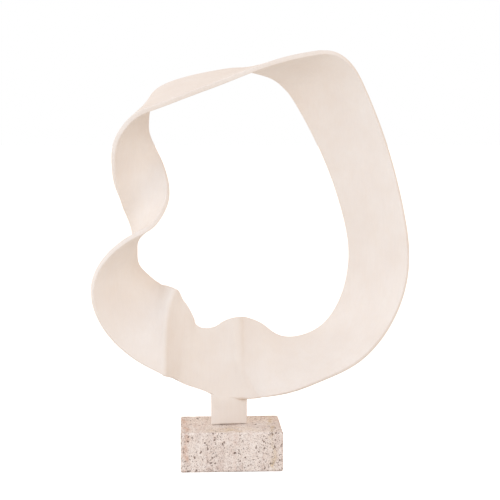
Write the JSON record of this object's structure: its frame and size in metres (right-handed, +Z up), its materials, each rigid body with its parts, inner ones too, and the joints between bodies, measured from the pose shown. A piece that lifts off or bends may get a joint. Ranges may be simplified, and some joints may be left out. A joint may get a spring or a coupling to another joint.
{
  "type": "abstract sculpture",
  "caption": "Table sculpture: a cream painted metal band with a half twist, bent into an open loop with soft folds, standing on a short stem on a rectangular travertine block.",
  "frame": {"origin": "middle of the plinth's underside, on the surface that the sculpture stands on", "axes": "+Z up, the longest side; -Y towards the viewer of the picture; +X to that viewer's right"},
  "size_m": [0.4029, 0.1127, 0.5302],
  "materials": {
    "cream_paint": "matte",
    "travertine": "matte"
  },
  "bodies": {
    "root": {"ribbon": "cream_paint", "plinth": "travertine"}
  },
  "joints": []
}
